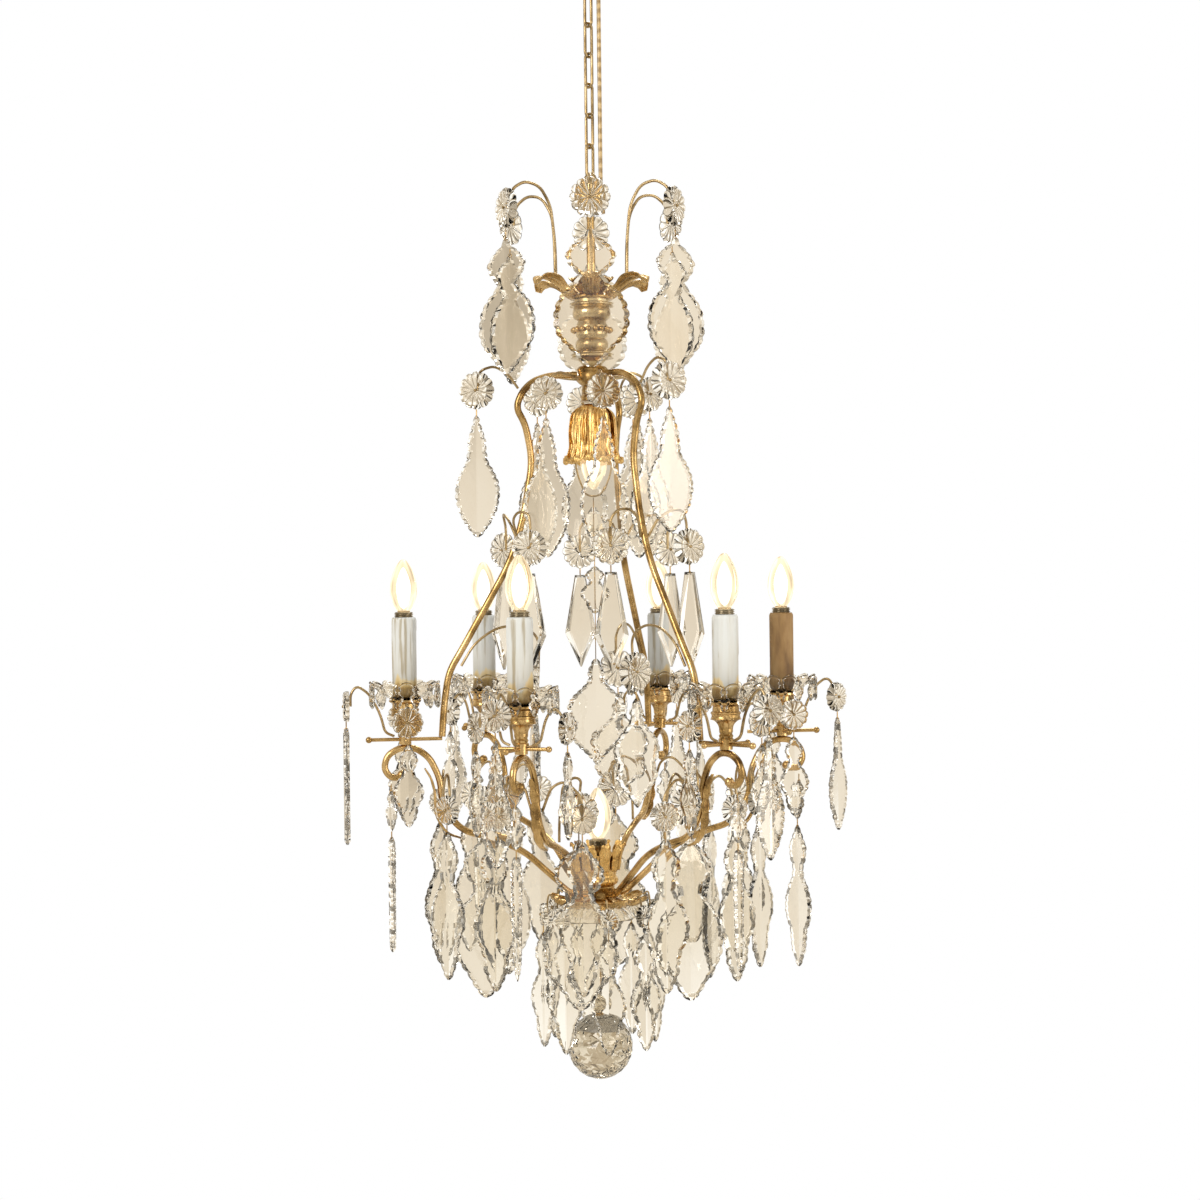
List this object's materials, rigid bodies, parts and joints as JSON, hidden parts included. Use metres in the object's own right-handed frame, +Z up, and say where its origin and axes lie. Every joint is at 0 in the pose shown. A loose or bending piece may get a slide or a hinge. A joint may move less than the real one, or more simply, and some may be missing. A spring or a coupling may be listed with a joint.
{
  "type": "multi arm chandelier",
  "caption": "Brass cage chandelier with scrolled candle arms, cut crystal rosettes and drops, and a faceted ball, hung on a chain from a ceiling canopy.",
  "frame": {"origin": "middle of the ceiling crossbar's screw holes, on the ceiling face", "axes": "+Z up into the ceiling along the chandelier's axis; +X along the crossbar; one candle arm stands 9 degrees from +X"},
  "size_m": [0.6713, 0.6342, 1.526],
  "materials": {
    "gilt_brass": "antique gilt, worn darker in the hollows",
    "zinc_steel": "zinc plated",
    "crystal": "cut and polished, faint champagne tint",
    "pan_glass": "moulded, polished",
    "bulb_glass": "clear, lit warm white",
    "sleeve_paint": "aged off-white paint",
    "holder_brass": "dull",
    "cord_jacket": "gold translucent"
  },
  "bodies": {
    "ceiling_fitting": {"ceiling_crossbar": "zinc_steel", "canopy_nipple": "gilt_brass", "ceiling_canopy": "gilt_brass", "canopy_loop": "gilt_brass"},
    "top_link": {"chain_link_top": "gilt_brass"},
    "chain": {"chain_links": "gilt_brass", "power_cord": "cord_jacket"},
    "chandelier": {"acanthus_bell": "gilt_brass", "arm_crossbars": "gilt_brass", "arm_drops": "crystal", "arm_hook_wires": "gilt_brass", "arm_rosettes": "crystal", "arm_sheaths": "gilt_brass", "bottom_drops": "crystal", "bottom_hub": "gilt_brass", "cage_ribs": "gilt_brass", "candle_arms": "gilt_brass", "candle_cups": "gilt_brass", "candle_sleeves": "sleeve_paint", "cord_gland": "gilt_brass", "crown_wires": "gilt_brass", "crystal_pins": "gilt_brass", "drip_pans": "pan_glass", "fixed_lamp_holders": "holder_brass", "glass_dish": "pan_glass", "hub_stud": "gilt_brass", "inner_drops": "crystal", "inner_plates": "crystal", "lamp_holders": "holder_brass", "leaf_crown": "gilt_brass", "light_gallery": "gilt_brass", "pan_beads": "pan_glass", "rib_hub": "gilt_brass", "rib_wires": "gilt_brass", "shoulder_drops": "crystal", "skirt_plates": "crystal", "skirt_rosettes": "crystal", "skirt_wires": "gilt_brass", "stem_baluster": "gilt_brass", "stem_beads": "gilt_brass", "stem_tube": "gilt_brass", "top_eye": "gilt_brass", "upper_rosettes": "crystal", "waist_drops": "crystal"},
    "candle_bulb_1": {"candle_bulb_1": "bulb_glass"},
    "candle_bulb_2": {"candle_bulb_2": "bulb_glass"},
    "candle_bulb_3": {"candle_bulb_3": "bulb_glass"},
    "candle_bulb_4": {"candle_bulb_4": "bulb_glass"},
    "candle_bulb_5": {"candle_bulb_5": "bulb_glass"},
    "candle_bulb_6": {"candle_bulb_6": "bulb_glass"},
    "centre_bulb": {"centre_bulb": "bulb_glass"},
    "centre_string": {"centre_string": "crystal"},
    "crown_drop_1": {"crown_drop_1": "crystal"},
    "crown_drop_2": {"crown_drop_2": "crystal"},
    "crown_drop_3": {"crown_drop_3": "crystal"},
    "crown_drop_4": {"crown_drop_4": "crystal"},
    "crown_drop_5": {"crown_drop_5": "crystal"},
    "crown_drop_6": {"crown_drop_6": "crystal"},
    "crystal_ball": {"crystal_ball": "crystal"},
    "downlight_bulb": {"downlight_bulb": "bulb_glass"}
  },
  "joints": [
    {"name": "link_sway", "type": "hinge", "parent": "ceiling_fitting", "child": "top_link", "pos_m": [0, 0, -0.0985], "axis": [0.7071, 0.7071, 0], "range_deg": [-8, 8]},
    {"name": "chain_sway", "type": "hinge", "parent": "top_link", "child": "chain", "pos_m": [0, 0, -0.138], "axis": [-0.7071, 0.7071, 0], "range_deg": [-8, 8]},
    {"name": "chandelier_sway", "type": "hinge", "parent": "chain", "child": "chandelier", "pos_m": [0, 0, -0.338], "axis": [0.7071, 0.7071, 0], "range_deg": [-6, 6], "deforming": ["power_cord"]},
    {"name": "crown_drop_1_swing", "type": "hinge", "parent": "chandelier", "child": "crown_drop_1", "pos_m": [0, -0.126, -0.414], "axis": [1, 0, 0], "range_deg": [-8, 8]},
    {"name": "crown_drop_2_swing", "type": "hinge", "parent": "chandelier", "child": "crown_drop_2", "pos_m": [0.10912, -0.063, -0.414], "axis": [0.5, 0.866, 0], "range_deg": [-8, 8]},
    {"name": "crown_drop_3_swing", "type": "hinge", "parent": "chandelier", "child": "crown_drop_3", "pos_m": [0.10912, 0.063, -0.414], "axis": [-0.5, 0.866, 0], "range_deg": [-8, 8]},
    {"name": "crown_drop_4_swing", "type": "hinge", "parent": "chandelier", "child": "crown_drop_4", "pos_m": [0, 0.126, -0.414], "axis": [-1, 0, 0], "range_deg": [-8, 8]},
    {"name": "crown_drop_5_swing", "type": "hinge", "parent": "chandelier", "child": "crown_drop_5", "pos_m": [-0.10912, 0.063, -0.414], "axis": [-0.5, -0.866, 0], "range_deg": [-8, 8]},
    {"name": "crown_drop_6_swing", "type": "hinge", "parent": "chandelier", "child": "crown_drop_6", "pos_m": [-0.10912, -0.063, -0.414], "axis": [0.5, -0.866, 0], "range_deg": [-8, 8]},
    {"name": "centre_string_swing", "type": "hinge", "parent": "chandelier", "child": "centre_string", "pos_m": [0, 0, -0.758], "axis": [1, 0, 0], "range_deg": [-4, 4]},
    {"name": "crystal_ball_swing", "type": "hinge", "parent": "chandelier", "child": "crystal_ball", "pos_m": [0, 0, -1.325], "axis": [1, 0, 0], "range_deg": [-6, 6]},
    {"name": "candle_bulb_1_turn", "type": "hinge", "parent": "chandelier", "child": "candle_bulb_1", "pos_m": [0.2489, 0.03942, -0.9076], "axis": [0, 0, 1], "range_deg": [0, 1080]},
    {"name": "candle_bulb_2_turn", "type": "hinge", "parent": "chandelier", "child": "candle_bulb_2", "pos_m": [0.09031, 0.23526, -0.9076], "axis": [0, 0, 1], "range_deg": [0, 1080]},
    {"name": "candle_bulb_3_turn", "type": "hinge", "parent": "chandelier", "child": "candle_bulb_3", "pos_m": [-0.15859, 0.19584, -0.9076], "axis": [0, 0, 1], "range_deg": [0, 1080]},
    {"name": "candle_bulb_4_turn", "type": "hinge", "parent": "chandelier", "child": "candle_bulb_4", "pos_m": [-0.2489, -0.03942, -0.9076], "axis": [0, 0, 1], "range_deg": [0, 1080]},
    {"name": "candle_bulb_5_turn", "type": "hinge", "parent": "chandelier", "child": "candle_bulb_5", "pos_m": [-0.09031, -0.23526, -0.9076], "axis": [0, 0, 1], "range_deg": [0, 1080]},
    {"name": "candle_bulb_6_turn", "type": "hinge", "parent": "chandelier", "child": "candle_bulb_6", "pos_m": [0.15859, -0.19584, -0.9076], "axis": [0, 0, 1], "range_deg": [0, 1080]},
    {"name": "centre_bulb_turn", "type": "hinge", "parent": "chandelier", "child": "centre_bulb", "pos_m": [0, 0, -1.211], "axis": [0, 0, 1], "range_deg": [0, 1080]},
    {"name": "downlight_bulb_turn", "type": "hinge", "parent": "chandelier", "child": "downlight_bulb", "pos_m": [0, 0, -0.681], "axis": [0, 0, -1], "range_deg": [0, 1080]}
  ]
}
